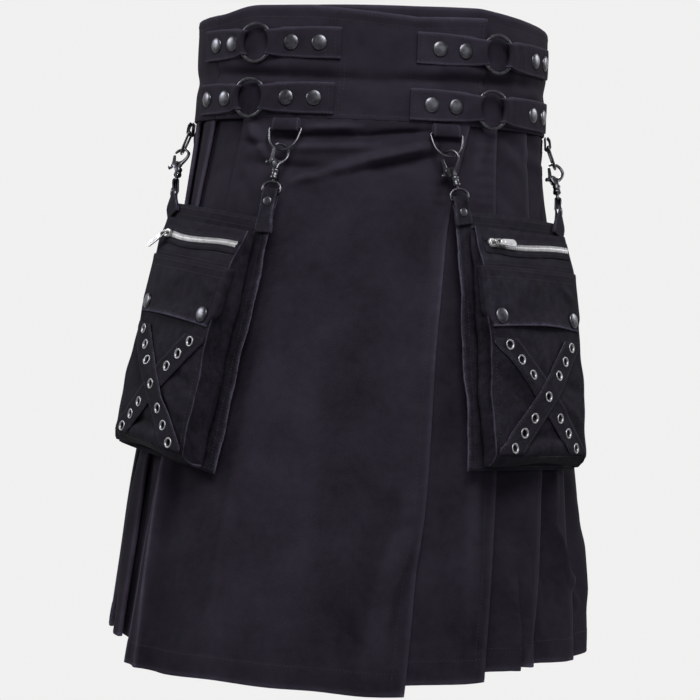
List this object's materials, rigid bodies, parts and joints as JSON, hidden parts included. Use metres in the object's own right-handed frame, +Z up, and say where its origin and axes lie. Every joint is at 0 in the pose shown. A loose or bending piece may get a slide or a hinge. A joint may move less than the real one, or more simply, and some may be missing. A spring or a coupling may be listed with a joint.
{
  "type": "utility kilt",
  "caption": "Black twill kilt with a wrapped waistband, knife pleats, ring straps and two box pockets on swivel snap hooks, in its hollow worn form",
  "frame": {"origin": "the middle of the waist, level with its front upper edge, where the wearer's waist holds the kilt", "axes": "+Z up towards the waist opening, -Y the front, +X the right-hand side as the front is looked at"},
  "size_m": [0.4656, 0.4054, 0.615],
  "materials": {
    "twill": "matt cotton twill with a fine diagonal rib",
    "gunmetal": "dark nickel, semi-gloss",
    "bright_metal": "bright nickel zip metal"
  },
  "bodies": {
    "garment": {"waistband_main": "twill", "waistband_over": "twill", "over_apron": "twill", "under_apron": "twill", "pleats": "twill", "ring_upper_left": "gunmetal", "strap_upper_left_front": "twill", "strap_upper_left_rear": "twill", "ring_lower_left": "gunmetal", "strap_lower_left_front": "twill", "strap_lower_left_rear": "twill", "ring_upper_right": "gunmetal", "strap_upper_right_front": "twill", "strap_upper_right_rear": "twill", "ring_lower_right": "gunmetal", "strap_lower_right_front": "twill", "strap_lower_right_rear": "twill", "pocket_right_back": "twill", "pocket_right_bag": "twill", "pocket_right_flap": "twill", "pocket_right_snap_front": "gunmetal", "pocket_right_snap_rear": "gunmetal", "pocket_right_cross": "twill", "pocket_right_zip": "bright_metal", "pocket_right_slider": "bright_metal", "pocket_right_tab_front": "twill", "pocket_right_tab_rear": "twill", "pocket_left_back": "twill", "pocket_left_bag": "twill", "pocket_left_flap": "twill", "pocket_left_snap_front": "gunmetal", "pocket_left_snap_rear": "gunmetal", "pocket_left_cross": "twill", "pocket_left_zip": "bright_metal", "pocket_left_slider": "bright_metal", "pocket_left_tab_front": "twill", "pocket_left_tab_rear": "twill", "d_ring_right_front": "gunmetal", "d_loop_right_front": "twill", "eye_right_front": "gunmetal", "d_ring_right_rear": "gunmetal", "d_loop_right_rear": "twill", "eye_right_rear": "gunmetal", "d_ring_left_front": "gunmetal", "d_loop_left_front": "twill", "eye_left_front": "gunmetal", "d_ring_left_rear": "gunmetal", "d_loop_left_rear": "twill", "eye_left_rear": "gunmetal"},
    "pull_right": {"pocket_right_pull": "bright_metal"},
    "pull_left": {"pocket_left_pull": "bright_metal"},
    "swivel_right_front": {"hook_right_front": "gunmetal"},
    "gate_right_front": {"trigger_right_front": "gunmetal"},
    "swivel_right_rear": {"hook_right_rear": "gunmetal"},
    "gate_right_rear": {"trigger_right_rear": "gunmetal"},
    "swivel_left_front": {"hook_left_front": "gunmetal"},
    "gate_left_front": {"trigger_left_front": "gunmetal"},
    "swivel_left_rear": {"hook_left_rear": "gunmetal"},
    "gate_left_rear": {"trigger_left_rear": "gunmetal"}
  },
  "joints": [
    {"name": "pull_hinge_right", "type": "hinge", "parent": "garment", "child": "pull_right", "pos_m": [0.1131, -0.14887, -0.20702], "axis": [0.2438, -0.3051, -0.9206], "range_deg": [0, 180]},
    {"name": "pull_hinge_left", "type": "hinge", "parent": "garment", "child": "pull_left", "pos_m": [-0.18937, -0.06591, -0.20922], "axis": [-0.0569, 0.5682, 0.8209], "range_deg": [0, 180]},
    {"name": "swivel_turn_right_front", "type": "hinge", "parent": "garment", "child": "swivel_right_front", "pos_m": [0.06948, -0.13716, -0.135], "axis": [0.2656, -0.1702, -0.9489], "range_deg": [-10, 17]},
    {"name": "gate_hinge_right_front", "type": "hinge", "parent": "swivel_right_front", "child": "gate_right_front", "pos_m": [0.06676, -0.13609, -0.14565], "axis": [0.4626, 0.8861, -0.0294], "range_deg": [0, 18], "stiffness_Nm_per_rad": 0.02, "springref_deg": -8.59},
    {"name": "swivel_turn_right_rear", "type": "hinge", "parent": "garment", "child": "swivel_right_rear", "pos_m": [0.18119, -0.01178, -0.13498], "axis": [0.0341, -0.5354, -0.8439], "range_deg": [-10, 15]},
    {"name": "gate_hinge_right_rear", "type": "hinge", "parent": "swivel_right_rear", "child": "gate_right_rear", "pos_m": [0.17588, -0.0188, -0.14164], "axis": [-0.3851, 0.7722, -0.5055], "range_deg": [0, 18], "stiffness_Nm_per_rad": 0.02, "springref_deg": -8.59},
    {"name": "swivel_turn_left_front", "type": "hinge", "parent": "garment", "child": "swivel_left_front", "pos_m": [-0.08382, -0.13204, -0.13505], "axis": [-0.185, -0.2187, -0.9581], "range_deg": [-20, 10]},
    {"name": "gate_hinge_left_front", "type": "hinge", "parent": "swivel_left_front", "child": "gate_left_front", "pos_m": [-0.09098, -0.13628, -0.1423], "axis": [-0.4067, 0.9046, -0.128], "range_deg": [0, 18], "stiffness_Nm_per_rad": 0.02, "springref_deg": -8.59},
    {"name": "swivel_turn_left_rear", "type": "hinge", "parent": "garment", "child": "swivel_left_rear", "pos_m": [-0.18171, 0.0007, -0.1348], "axis": [-0.0665, -0.6167, -0.7844], "range_deg": [-20, 7]},
    {"name": "gate_hinge_left_rear", "type": "hinge", "parent": "swivel_left_rear", "child": "gate_left_rear", "pos_m": [-0.1879, -0.00283, -0.14323], "axis": [0.3981, 0.7044, -0.5876], "range_deg": [0, 18], "stiffness_Nm_per_rad": 0.02, "springref_deg": -8.59}
  ]
}
